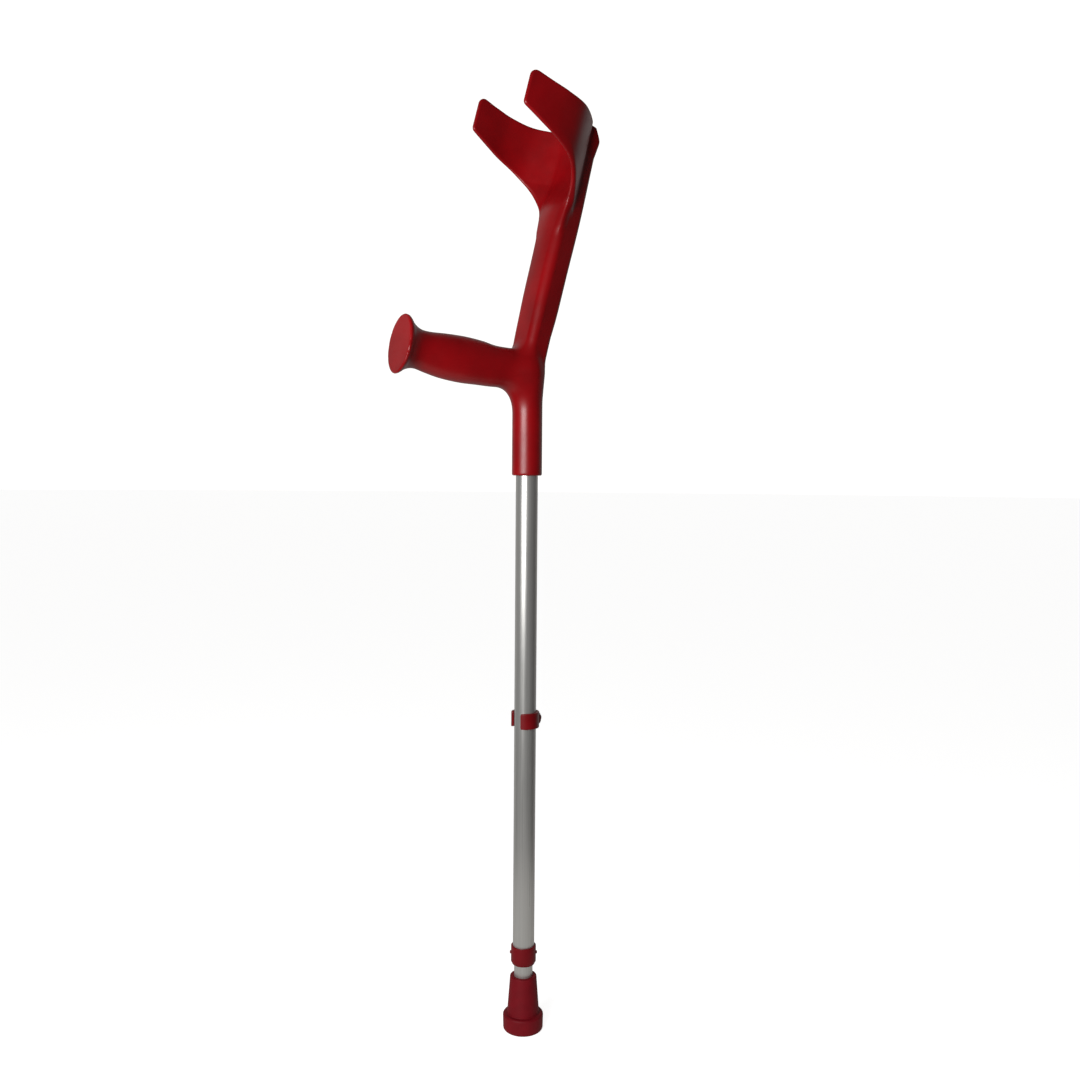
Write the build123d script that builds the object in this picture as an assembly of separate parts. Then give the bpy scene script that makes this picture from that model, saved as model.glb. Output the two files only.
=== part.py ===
from build123d import *
import os
from math import cos, radians, sin

# Forearm crutch, in millimetres. The origin is the middle of the tip's rest face on the ground.
# +Z runs up the tubes, +X points forwards along the hand grip, and +Y is the crutch's left side.
# The model is at its shortest setting, with the locating peg in the lowest hole of the lower tube.

# Tubes
UPPER_TUBE_R = 11.0
LOWER_TUBE_R = 9.5
TUBE_WALL = 1.2
UPPER_TUBE_BOTTOM = 72.0
UPPER_TUBE_TOP = 662.0
LOWER_TUBE_TOP = 590.0
SLIDING_GAP = 0.08

# Height setting: one hole in the upper tube's back, and a row of holes in the lower tube's back
PEG_Z = 321.6
PEG_R = 3.0
PEG_HOLE_R = 3.2
HOLE_PITCH = 20.0
HOLE_COUNT = 13

# Rubber tip
TIP_BASE_R = 20.3
TIP_SHOULDER_R = 20.7
TIP_FLANGE_H = 17.0
TIP_CONE_R = 16.4
TIP_NECK_R = 13.5
TIP_HEIGHT = 56.0
TIP_FLOOR = 18.0
WASHER_THICK = 2.0
TREAD_DEPTH = 1.5
TREAD_GROOVE = 1.8
TREAD_RADII = (6.0, 10.5, 15.0)

# Anti-rattle collar on the upper tube's lower end
COLLAR_BOTTOM = 68.7
COLLAR_TOP = 87.6
COLLAR_R = 12.8
COLLAR_PIP_Z = 79.8
COLLAR_PIP_R = 1.6
COLLAR_PIP_PROUD = 1.2
COLLAR_PIP_ANGLE = 146.0

# Height clip: a springy band with its gap at the front, and a peg with a domed button at the back
BAND_HEIGHT = 16.0
BAND_OUTER_R = 14.2
BAND_INNER_R = 11.3
BAND_HALF_GAP = 36.0
BAND_CORNER = 1.6
BUTTON_R = 4.5
BUTTON_REACH = 19.2
PEG_END = 6.4

# Moulded handle: sleeve, leaning stem, cuff and grip in one piece
SLEEVE_BOTTOM = 567.5
SLEEVE_TOP = 668.0
SLEEVE_R = 15.0
SLEEVE_RIM = 1.8
STEM_FOOT_Z = 690.0
STEM_LEAN = 15.5
STEM_BACK = -15.6
STEM_WALL = 4.6
STEM_HALF_WIDTH = 19.0
STEM_TAPER = 0.15
TAPER_FROM = 4.0
RAIL_FOOT = 145.0
RAIL_BEVEL = 226.0
RAIL_TOP = 236.0
RAIL_FRONT = 2.0
CUFF_WALL = 4.0
CUFF_REACH = 95.4
CUFF_FOOT = 120.0
CUFF_TIP_LOW = 203.4
CUFF_TIP_HIGH = 239.2
RIVET_Z = 618.0
RIVET_R = 2.0

# Grip stations: forward place, centre height, height, width and tilt of each oval section
GRIP_STATIONS = [
    (6.0, 672.4, 37.9, 34.0, 3.0),
    (38.0, 673.1, 39.8, 31.5, 4.0),
    (56.0, 675.3, 42.6, 32.0, 6.0),
    (76.0, 677.2, 44.2, 33.0, 7.0),
    (96.0, 679.2, 42.4, 32.0, 8.0),
    (111.0, 681.2, 38.8, 30.0, 9.5),
    (121.0, 683.2, 36.8, 29.2, 11.0),
]
FLARE_STATIONS = [
    (121.0, 683.2, 36.8, 29.2, 11.0),
    (127.5, 684.5, 39.0, 30.4, 11.0),
    (133.5, 685.7, 45.4, 35.0, 11.0),
    (138.4, 686.7, 54.2, 42.0, 11.0),
    (141.8, 687.4, 56.0, 43.6, 11.0),
]
GRIP_TILT = 11.0
CAP_RIM = 2.2
CAP_THICK = 2.2
CAP_DISH = 0.9
DISH_R = 190.0
PLUG_LENGTH = 7.0
CORE_ROOT = (44.0, 674.6, 24.0, 15.0, 5.0)

LEAN = (-sin(radians(STEM_LEAN)), 0, cos(radians(STEM_LEAN)))
FACING = (cos(radians(STEM_LEAN)), 0, sin(radians(STEM_LEAN)))


def ring(outer, inner, bottom, top):
    """A round tube about the Z axis."""
    upright = (Align.CENTER, Align.CENTER, Align.MIN)
    tube = Pos(0, 0, bottom) * Cylinder(outer, top - bottom, align=upright)
    bore = Pos(0, 0, bottom - 1) * Cylinder(inner, top - bottom + 2, align=upright)
    return tube - bore


def crossways(radius, near, far, height, angle=180.0):
    """A round bar lying across the tubes, from near to far out along the given bearing."""
    bar = Cylinder(radius, far - near, align=(Align.CENTER, Align.CENTER, Align.MIN))
    return Pos(0, 0, height) * Rot(0, 0, angle) * Rot(0, 90, 0) * Pos(0, 0, near) * bar


def stem_section(along):
    """The plane across the leaning stem, at a distance up it from the stem's foot."""
    foot = Plane(origin=(0, 0, STEM_FOOT_Z), x_dir=FACING, z_dir=LEAN)
    return foot.offset(along)


def stem_side():
    """The plane of the crutch's mid-section, with X forwards across the stem and Y up it."""
    return Plane(origin=(0, 0, STEM_FOOT_Z), x_dir=FACING, z_dir=(0, -1, 0))


def stem_front():
    """The plane across the stem's width, with X to the left and Y up the stem."""
    return Plane(origin=(0, 0, STEM_FOOT_Z), x_dir=(0, 1, 0), z_dir=FACING)


def upper_tube():
    """The outer tube, with one hole for the clip's peg and one for the rivet."""
    tube = ring(UPPER_TUBE_R, UPPER_TUBE_R - TUBE_WALL, UPPER_TUBE_BOTTOM, UPPER_TUBE_TOP)
    tube -= crossways(PEG_HOLE_R, 0, UPPER_TUBE_R + 2, PEG_Z)
    tube -= crossways(RIVET_R, 0, UPPER_TUBE_R + 2, RIVET_Z)
    return tube


def lower_tube():
    """The inner tube, with a row of holes that sets the crutch's height."""
    tube = ring(LOWER_TUBE_R, LOWER_TUBE_R - TUBE_WALL, TIP_FLOOR, LOWER_TUBE_TOP)
    for step in range(HOLE_COUNT):
        tube -= crossways(PEG_HOLE_R, 0, LOWER_TUBE_R + 2, PEG_Z + step * HOLE_PITCH)
    return tube


def guide_bush():
    """The plug in the lower tube's upper end, whose head runs in the upper tube."""
    head_r = UPPER_TUBE_R - TUBE_WALL - SLIDING_GAP
    stub_r = LOWER_TUBE_R - TUBE_WALL
    head = ring(head_r, 5.0, LOWER_TUBE_TOP, LOWER_TUBE_TOP + 5)
    stub = ring(stub_r, 5.0, LOWER_TUBE_TOP - 14, LOWER_TUBE_TOP)
    bush = head + stub
    rim = bush.edges().filter_by(GeomType.CIRCLE).sort_by(Axis.Z)[-1]
    return chamfer(rim, 0.8)


def ferrule():
    """The rubber tip: a cone on a wide foot, with a socket for the tube and a ribbed tread."""
    with BuildSketch(Plane.XZ) as half:
        with BuildLine():
            Polyline(
                (0, 0),
                (TIP_BASE_R, 0),
                (TIP_SHOULDER_R, TIP_FLANGE_H),
                (TIP_CONE_R, TIP_FLANGE_H),
                (TIP_NECK_R, TIP_HEIGHT),
                (0, TIP_HEIGHT),
                close=True,
            )
        make_face()
        base, shoulder, root, neck = (
            half.vertices().group_by(Axis.Y)[0].sort_by(Axis.X)[-1],
            half.vertices().group_by(Axis.Y)[1].sort_by(Axis.X)[-1],
            half.vertices().group_by(Axis.Y)[1].sort_by(Axis.X)[0],
            half.vertices().group_by(Axis.Y)[-1].sort_by(Axis.X)[-1],
        )
        fillet(base, 2.2)
        fillet(shoulder, 2.4)
        fillet(root, 0.8)
        fillet(neck, 1.2)
    body = revolve(half.sketch, Axis.Z)
    socket = Cylinder(LOWER_TUBE_R, TIP_HEIGHT, align=(Align.CENTER, Align.CENTER, Align.MIN))
    body -= Pos(0, 0, TIP_FLOOR - WASHER_THICK) * socket
    for radius in TREAD_RADII:
        body -= ring(radius + TREAD_GROOVE / 2, radius - TREAD_GROOVE / 2, -1, TREAD_DEPTH)
    return body


def ferrule_washer():
    return ring(LOWER_TUBE_R, 3.0, TIP_FLOOR - WASHER_THICK, TIP_FLOOR)


def anti_rattle_collar():
    """The plastic collar that closes the upper tube's end and steadies the lower tube."""
    body = ring(COLLAR_R, LOWER_TUBE_R + SLIDING_GAP, COLLAR_BOTTOM, COLLAR_TOP)
    lower_rim = body.edges().filter_by(GeomType.CIRCLE).group_by(Axis.Z)[0].sort_by(SortBy.RADIUS)[-1]
    body = chamfer(lower_rim, 2.4, 1.5).solid()
    upper_rim = body.edges().filter_by(GeomType.CIRCLE).group_by(Axis.Z)[-1].sort_by(SortBy.RADIUS)[-1]
    body = fillet(upper_rim, 0.5)
    body -= ring(UPPER_TUBE_R, 1.0, UPPER_TUBE_BOTTOM, COLLAR_TOP + 1)
    for bearing in (COLLAR_PIP_ANGLE, COLLAR_PIP_ANGLE + 180):
        reach = COLLAR_R + COLLAR_PIP_PROUD
        body += crossways(COLLAR_PIP_R, UPPER_TUBE_R + 0.5, reach, COLLAR_PIP_Z, bearing)
    return body


def clip_band():
    """The C-shaped band, cut to rounded ends at the gap, with a boss under the button."""
    bottom = PEG_Z - BAND_HEIGHT / 2
    band = ring(BAND_OUTER_R, BAND_INNER_R, bottom, bottom + BAND_HEIGHT)
    with BuildSketch(Plane.XY.offset(bottom)) as gap:
        with BuildLine():
            reach = 2 * BAND_OUTER_R
            Polyline(
                (0, 0),
                (reach * cos(radians(BAND_HALF_GAP)), -reach * sin(radians(BAND_HALF_GAP))),
                (reach * cos(radians(BAND_HALF_GAP)), reach * sin(radians(BAND_HALF_GAP))),
                close=True,
            )
        make_face()
    band -= extrude(gap.sketch, BAND_HEIGHT)
    ends = band.edges().filter_by(GeomType.LINE).filter_by(lambda e: e.center().X > 0 and e.length < 4)
    band = fillet(ends, BAND_CORNER)
    boss = crossways(7.2, BAND_INNER_R, BAND_OUTER_R + 0.9, PEG_Z)
    boss -= ring(BAND_INNER_R, 0.5, bottom - 1, bottom + BAND_HEIGHT + 1)
    band += boss
    band -= crossways(PEG_R, 5, 30, PEG_Z)
    return band


def clip_peg():
    """The locating peg, with a domed button for the thumb."""
    shank = crossways(PEG_R, PEG_END, BAND_OUTER_R + 0.9, PEG_Z)
    end_rim = shank.edges().filter_by(GeomType.CIRCLE).sort_by(Axis.X)[-1]
    shank = chamfer(end_rim, 0.7)
    rise = BUTTON_REACH - BAND_OUTER_R - 0.9
    button = crossways(BUTTON_R, BAND_OUTER_R + 0.9, BUTTON_REACH, PEG_Z)
    outer_rim = button.edges().filter_by(GeomType.CIRCLE).sort_by(Axis.X)[0]
    button = fillet(outer_rim, 0.8 * rise)
    return shank + button


def sleeve_rivet():
    """The blind rivet that fixes the upper tube in the sleeve, with its formed tail inside."""
    inner = UPPER_TUBE_R - TUBE_WALL
    shank = crossways(RIVET_R, inner - 2.4, SLEEVE_R, RIVET_Z)
    tail = crossways(3.0, inner - 2.6, inner - 0.6, RIVET_Z)
    head = crossways(3.6, SLEEVE_R, SLEEVE_R + 1.3, RIVET_Z)
    outer_rim = head.edges().filter_by(GeomType.CIRCLE).sort_by(Axis.X)[0]
    head = fillet(outer_rim, 1.0)
    return shank + tail + head


def stem_outline(back, front, half_width, corner):
    """The stem's section, whose sides draw in towards its back."""
    kink = min(TAPER_FROM, (front + back) / 2 + 4)
    back_half = half_width - STEM_TAPER * (kink - back)
    with BuildSketch() as section:
        with BuildLine():
            Polyline(
                (front, -half_width),
                (front, half_width),
                (kink, half_width),
                (back, back_half),
                (back, -back_half),
                (kink, -half_width),
                close=True,
            )
        make_face()
        fillet(section.vertices().group_by(Axis.X)[-1], corner)
        fillet(section.vertices().group_by(Axis.X)[0], 0.6 * corner)
    return section.sketch


def stem():
    """The leaning stem, from inside the sleeve up to the rail behind the cuff."""
    sections = [
        (-46.0, -24.0, -2.0, 11.5, 6.0),
        (-12.0, -14.6, 9.5, 17.0, 7.0),
        (40.0, STEM_BACK, 12.6, STEM_HALF_WIDTH, 8.0),
        (90.0, STEM_BACK, 14.0, STEM_HALF_WIDTH, 8.0),
        (RAIL_FOOT, STEM_BACK, 14.6, STEM_HALF_WIDTH, 8.0),
    ]
    faces = []
    for along, back, front, half_width, corner in sections:
        faces.append(stem_section(along) * stem_outline(back, front, half_width, corner))
    body = loft(faces)
    rail = stem_outline(STEM_BACK, RAIL_FRONT, STEM_HALF_WIDTH - 1, 4.0)
    body += extrude(stem_section(RAIL_FOOT) * rail, RAIL_TOP - RAIL_FOOT)
    return body - rail_bevel()


def rail_bevel():
    """The wedge that bevels the rail's top down to its back."""
    with BuildSketch() as wedge:
        with BuildLine():
            Polyline(
                (STEM_BACK - 10, RAIL_BEVEL - 7.3),
                (STEM_BACK, RAIL_BEVEL),
                (STEM_BACK + 15.7, RAIL_BEVEL + 11.5),
                (STEM_BACK - 10, RAIL_BEVEL + 20),
                close=True,
            )
        make_face()
    return extrude(stem_side() * wedge.sketch, 40, both=True)


def cuff_plan(inset):
    """Half of the cuff's plan outline across the stem: (forward, sideways), drawn in by inset."""
    return [
        (-3.2 + inset, 0.0),
        (6.0 + 0.86 * inset, 27.6 - 0.52 * inset),
        (28.0 + 0.5 * inset, 45.3 - 0.87 * inset),
        (52.0, 50.4 - inset),
        (CUFF_REACH + 8 * inset, 48.1 - inset),
    ]


def cuff_plan_face(inset):
    """The cuff's plan outline, closed straight across its open front."""
    half = cuff_plan(inset)
    other = [(forward, -side) for forward, side in reversed(half[1:])]
    with BuildSketch() as plan:
        with BuildLine():
            curve = Spline(other + half)
            Line(curve @ 1, curve @ 0)
        make_face()
    return plan.sketch


def cuff_side_face():
    """The cuff seen from the side, as (forward, up the stem): rounded tips over a swept lower edge."""
    with BuildSketch() as side:
        with BuildLine():
            top = ThreePointArc((-20, 236.8), (40, 235.4), (CUFF_REACH, CUFF_TIP_HIGH))
            tip = Line(top @ 1, (CUFF_REACH, CUFF_TIP_LOW))
            edge = Spline(tip @ 1, (60, 191.0), (36.5, 181.6), (20, 168.4), (12, 151), (6, 126))
            Polyline(edge @ 1, (-20, 126), top @ 0)
        make_face()
        high, low = side.vertices().group_by(Axis.X)[-1].sort_by(Axis.Y)[::-1]
        fillet(high, 7.0)
        fillet(low, 5.0)
    return side.sketch


def cuff_front_face(inset):
    """The cuff seen from the front, as (sideways, up the stem): the stem's width flaring to the arms'."""
    half = [(18.0, 126), (21.5, 141.5), (30.5, 157.8), (39.5, 171.4), (46.5, 181.8), (53.0, 199)]
    right = [(side - inset, up) for side, up in half]
    left = [(-side, up) for side, up in reversed(right)]
    with BuildSketch() as front:
        with BuildLine():
            Spline(right)
            Line(right[-1], (right[-1][0], 250))
            Line((right[-1][0], 250), (left[0][0], 250))
            Line((left[0][0], 250), left[0])
            Spline(left)
            Line(left[-1], right[0])
        make_face()
    return front.sketch


def cuff_outside():
    """The cuff's outer shape: where its plan, its side and its front outlines meet."""
    plan = extrude(stem_section(CUFF_FOOT) * cuff_plan_face(0), 125)
    side = extrude(stem_side() * cuff_side_face(), 60, both=True)
    front = extrude(stem_front().offset(-20) * cuff_front_face(0), 130)
    return plan & side & front


def cuff_hollow():
    """The scoop inside the cuff, whose floor runs out over the stem's front face."""
    plan = extrude(stem_section(CUFF_FOOT) * cuff_plan_face(CUFF_WALL), 140)
    with BuildSketch() as floor:
        with BuildLine():
            curve = Spline((22, 126), (13.2, 148), (4, 180), (0.8, 214))
            Line(curve @ 1, (0.8, 262))
            Line((0.8, 262), (140, 262))
            Line((140, 262), (140, 126))
            Line((140, 126), curve @ 0)
        make_face()
    side = extrude(stem_side() * floor.sketch, 60, both=True)
    front = extrude(stem_front().offset(-20) * cuff_front_face(CUFF_WALL), 160)
    return plan & side & front


def oval(station):
    """One oval section of the grip, leaning back by its own tilt."""
    forward, centre, height, width, tilt = station
    slant = radians(tilt)
    across = Plane(origin=(forward, 0, centre), x_dir=(0, 1, 0), z_dir=(cos(slant), 0, sin(slant)))
    return across * Ellipse(width / 2, height / 2)


def grip():
    """The hand grip, swelling at its middle and flaring out to the knob."""
    body = loft([oval(station) for station in GRIP_STATIONS])
    body += loft([oval(station) for station in FLARE_STATIONS])
    return body


def knob_plane():
    """The plane of the knob's end face, looking out along the grip."""
    slant = radians(GRIP_TILT)
    last = FLARE_STATIONS[-1]
    return Plane(origin=(last[0], 0, last[1]), x_dir=(0, 1, 0), z_dir=(cos(slant), 0, sin(slant)))


def cap_outline(shrink):
    """The knob face's oval, drawn in by shrink."""
    last = FLARE_STATIONS[-1]
    return Ellipse(last[3] / 2 - shrink, last[2] / 2 - shrink)


def grip_core():
    """The hollow moulded up the grip from the knob's face, closed by the end cap."""
    mouth = knob_plane().offset(-CAP_THICK) * Ellipse(10.0, 14.0)
    return loft([oval(CORE_ROOT), mouth])


def stem_core():
    """The sealed gas channel inside the stem."""
    sections = [
        (8.0, 7.0, 12.0),
        (40.0, 7.8, 13.2),
        (90.0, 9.2, 13.2),
        (135.0, 7.0, 12.0),
    ]
    back = STEM_BACK + STEM_WALL
    faces = []
    for along, front, half_width in sections:
        outline = RectangleRounded(front - back, 2 * half_width, 4.0)
        faces.append(stem_section(along) * Pos((front + back) / 2, 0) * outline)
    return loft(faces)


def underside_web():
    """The rounded web that carries the grip's underside down into the sleeve."""
    with BuildSketch(Plane.XZ) as profile:
        with BuildLine():
            foot = (SLEEVE_R - 0.9, 634.5)
            heel = (29.5, 652.5)
            curve = TangentArc(foot, heel, tangent=(0, 1))
            Polyline(curve @ 1, (heel[0], 662.0), (5.0, 662.0), (5.0, foot[1]), curve @ 0)
        make_face()
    return extrude(profile.sketch, 10, both=True)


def handle_body():
    """The one-piece moulding: sleeve, stem, cuff and grip, hollow where the moulding is cored."""
    sleeve = Pos(0, 0, SLEEVE_BOTTOM) * Cylinder(
        SLEEVE_R, SLEEVE_TOP - SLEEVE_BOTTOM, align=(Align.CENTER, Align.CENTER, Align.MIN)
    )
    lower_rim = sleeve.edges().filter_by(GeomType.CIRCLE).sort_by(Axis.Z)[0]
    sleeve = fillet(lower_rim, SLEEVE_RIM)
    body = sleeve + stem() + grip() + cuff_outside() + underside_web()
    body -= cuff_hollow()
    body -= stem_core()
    body -= Pos(0, 0, SLEEVE_BOTTOM - 1) * Cylinder(
        UPPER_TUBE_R, UPPER_TUBE_TOP - SLEEVE_BOTTOM + 1, align=(Align.CENTER, Align.CENTER, Align.MIN)
    )
    body -= crossways(RIVET_R, 0, SLEEVE_R + 3, RIVET_Z)
    body -= grip_core()
    body -= extrude(knob_plane() * cap_outline(CAP_RIM), -CAP_THICK)
    return body


def grip_end_cap():
    """The oval cap in the knob's face, slightly dished, with a ring that plugs the grip's core."""
    plate = extrude(knob_plane() * cap_outline(CAP_RIM), -CAP_THICK)
    dish = knob_plane() * Pos(0, 0, DISH_R - CAP_DISH) * Sphere(DISH_R)
    plug = extrude(knob_plane().offset(-CAP_THICK) * Ellipse(8.8, 12.6), -PLUG_LENGTH)
    plug -= extrude(knob_plane().offset(-CAP_THICK) * Ellipse(7.0, 10.8), -PLUG_LENGTH)
    return plate - dish + plug


PARTS = {
    "handle_body": handle_body,
    "grip_end_cap": grip_end_cap,
    "upper_tube": upper_tube,
    "sleeve_rivet": sleeve_rivet,
    "anti_rattle_collar": anti_rattle_collar,
    "clip_band": clip_band,
    "clip_peg": clip_peg,
    "lower_tube": lower_tube,
    "guide_bush": guide_bush,
    "ferrule": ferrule,
    "ferrule_washer": ferrule_washer,
}


def main():
    os.makedirs("parts", exist_ok=True)
    for name, make in PARTS.items():
        export_step(make(), f"parts/{name}.step")


main()
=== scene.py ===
import math

import bpy
import numpy as np
from mathutils import Matrix, Vector


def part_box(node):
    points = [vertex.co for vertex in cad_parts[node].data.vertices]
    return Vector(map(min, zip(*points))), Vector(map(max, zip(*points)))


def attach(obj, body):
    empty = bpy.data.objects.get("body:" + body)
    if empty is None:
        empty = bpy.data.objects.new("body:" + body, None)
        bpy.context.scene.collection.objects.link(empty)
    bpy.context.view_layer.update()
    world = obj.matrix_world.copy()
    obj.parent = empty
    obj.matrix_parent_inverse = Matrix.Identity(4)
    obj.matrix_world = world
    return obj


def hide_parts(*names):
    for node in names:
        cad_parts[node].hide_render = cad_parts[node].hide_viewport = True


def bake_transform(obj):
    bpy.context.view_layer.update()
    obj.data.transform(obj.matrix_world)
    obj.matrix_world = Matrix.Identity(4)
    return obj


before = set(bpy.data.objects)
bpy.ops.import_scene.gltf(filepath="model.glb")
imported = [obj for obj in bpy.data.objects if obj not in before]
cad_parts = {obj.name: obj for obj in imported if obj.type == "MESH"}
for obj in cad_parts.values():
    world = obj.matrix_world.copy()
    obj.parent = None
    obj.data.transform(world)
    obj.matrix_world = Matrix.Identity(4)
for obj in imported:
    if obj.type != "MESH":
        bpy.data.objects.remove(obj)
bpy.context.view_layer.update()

MM = 0.001

# ---------------------------------------------------------------- driving dimensions, in mm
SLEEVE_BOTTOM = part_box("handle_body")[0].z / MM
SLEEVE_R = 14.98
SLEEVE_TOP = 668.0
STEM_FOOT_Z = 690.0
STEM_LEAN = math.radians(15.5)
GRIP_TILT = math.radians(9.6)
CUFF_WALL = 4.0
CUFF_REACH = 95.4
TUBE_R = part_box("upper_tube")[1].x / MM
LOWER_TUBE_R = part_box("lower_tube")[1].x / MM
PEG_Z = (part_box("clip_band")[0].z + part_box("clip_band")[1].z) / 2 / MM
BAND_HEIGHT = (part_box("clip_band")[1].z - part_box("clip_band")[0].z) / MM
TUBE_WALL = 1.2
UPPER_TUBE_ENDS = (72.0, 662.0)
LOWER_TUBE_ENDS = (18.0, 590.0)
HOLE_R = 3.2
HOLE_PITCH = 20.0
HOLE_COUNT = 13
RIVET_Z = 618.0
RIVET_R = 2.0
PIP_Z = 79.8

SIN_LEAN = math.sin(STEM_LEAN)
COS_LEAN = math.cos(STEM_LEAN)

# how finely the shapes are drawn
HANDLE_STEP = 1.1
CLIP_STEP = 0.4
SHARP_ANGLE = math.radians(42)
ROUND_SEGMENTS = 128
SMALL_SEGMENTS = 48

# colours, as linear light
RED = (0.36, 0.0024, 0.0052)
CLIP_RED = (0.24, 0.0035, 0.0070)
COLLAR_RED = (0.24, 0.0026, 0.0080)
# painted shade: the peg is the same red plastic, darkened here to the shade it sits in
SHADED_PEG_RED = (0.05, 0.006, 0.006)
RUBBER_RED = (0.21, 0.003, 0.009)
WORN_RED = (0.42, 0.05, 0.05)
SCUFFED_RUBBER = (0.12, 0.05, 0.045)
ANODISED = (0.60, 0.595, 0.575)
RIVET_ALUMINIUM = (0.72, 0.71, 0.70)
ZINC = (0.56, 0.56, 0.58)
NYLON = (0.20, 0.20, 0.21)


# ---------------------------------------------------------------- camera, floor and lights
CAMERA_PLACE = Vector((0.5837, 0.8733, 0.5660))
CAMERA_TURN = math.radians(34.5)
CAMERA_PITCH = math.radians(3.42)
CAMERA_ROLL = math.radians(0.46)
FILM_WIDTH = 36.0
LENS = 35.0
FLOOR_COLOUR = (0.8, 0.8, 0.8, 1)
FLOOR_GLOW = 0.86
SHEET_RADIUS = 0.36
SHEET_DEPTH = 0.001
SHEET_COLOUR = (1.0, 0.97, 0.93, 1)
SHEET_LEVEL = 0.42
KEY_BEARING = 29
KEY_DISTANCE = 1.25
KEY_HEIGHT = 0.67
KEY_SIZE = (0.75, 0.32)
KEY_POWER = 13.5
AIM_HEIGHT = 0.6
BACKDROP_EDGE = (0.05, 0.80)
BACKDROP_LEVEL = 0.36
ROOM_LEVEL = 0.035
ROOM_COLOUR = (1.0, 0.985, 0.965, 1)
SEEN_LEVEL = 1.1


def add_camera():
    """A metre away on the crutch's front left, a little below the grip's height."""
    right = Vector((-math.cos(CAMERA_TURN), math.sin(CAMERA_TURN), 0))
    towards = Vector((math.sin(CAMERA_TURN), math.cos(CAMERA_TURN), 0))
    rise = Vector((0, 0, 1))
    back = towards * math.cos(CAMERA_PITCH) + rise * math.sin(CAMERA_PITCH)
    up = rise * math.cos(CAMERA_PITCH) - towards * math.sin(CAMERA_PITCH)
    right_rolled = right * math.cos(CAMERA_ROLL) + up * math.sin(CAMERA_ROLL)
    up_rolled = up * math.cos(CAMERA_ROLL) - right * math.sin(CAMERA_ROLL)
    data = bpy.data.cameras.new("camera")
    data.sensor_width = FILM_WIDTH
    data.lens = LENS
    camera = bpy.data.objects.new("camera", data)
    axes = Matrix((right_rolled, up_rolled, back)).transposed()
    camera.matrix_world = Matrix.Translation(CAMERA_PLACE) @ axes.to_4x4()
    bpy.context.scene.collection.objects.link(camera)
    bpy.context.scene.camera = camera


def add_floor():
    """A wide pale floor that glows evenly, so that it runs into the white around it."""
    mesh = lathe_mesh("studio_floor", [(0.0, 0.0), (2.0, 0.0), (40.0, 0.0)], 64)
    floor = bpy.data.objects.new("studio_floor", mesh)
    bpy.context.scene.collection.objects.link(floor)
    material = bpy.data.materials.new("studio_white")
    material.use_nodes = True
    shader = material.node_tree.nodes["Principled BSDF"]
    shader.inputs["Base Color"].default_value = FLOOR_COLOUR
    shader.inputs["Roughness"].default_value = 0.9
    shader.inputs["Emission Color"].default_value = (1, 1, 1, 1)
    shader.inputs["Emission Strength"].default_value = FLOOR_GLOW
    mesh.materials.append(material)
    floor.visible_glossy = False
    floor.visible_diffuse = False


def add_white_sheet():
    """The small white sheet the crutch stands on, which only lights and reflects."""
    mesh = lathe_mesh("white_sheet", [(0.0, -SHEET_DEPTH), (SHEET_RADIUS, -SHEET_DEPTH)], 64)
    sheet = bpy.data.objects.new("white_sheet", mesh)
    bpy.context.scene.collection.objects.link(sheet)
    material = bpy.data.materials.new("sheet_glow")
    material.use_nodes = True
    shader = material.node_tree.nodes["Principled BSDF"]
    shader.inputs["Base Color"].default_value = (0, 0, 0, 1)
    shader.inputs["Specular IOR Level"].default_value = 0
    shader.inputs["Emission Color"].default_value = SHEET_COLOUR
    shader.inputs["Emission Strength"].default_value = SHEET_LEVEL
    mesh.materials.append(material)
    sheet.visible_camera = False
    sheet.visible_shadow = False


def add_key():
    """A softbox on the crutch's front left, aimed at its axis."""
    data = bpy.data.lights.new("key", "AREA")
    data.shape = "RECTANGLE"
    data.size, data.size_y = KEY_SIZE
    data.energy = KEY_POWER
    light = bpy.data.objects.new("key", data)
    angle = math.radians(KEY_BEARING)
    light.location = (KEY_DISTANCE * math.cos(angle), KEY_DISTANCE * math.sin(angle), KEY_HEIGHT)
    aim = Vector((0, 0, AIM_HEIGHT)) - light.location
    light.rotation_euler = aim.to_track_quat("-Z", "Y").to_euler()
    bpy.context.scene.collection.objects.link(light)


def world_ramp(tree, value, low, high):
    """A node that runs smoothly from 0 to 1 as value goes from low to high."""
    ramp = tree.nodes.new("ShaderNodeMapRange")
    ramp.interpolation_type = "SMOOTHSTEP"
    ramp.inputs["From Min"].default_value = low
    ramp.inputs["From Max"].default_value = high
    tree.links.new(value, ramp.inputs["Value"])
    return ramp.outputs["Result"]


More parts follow.
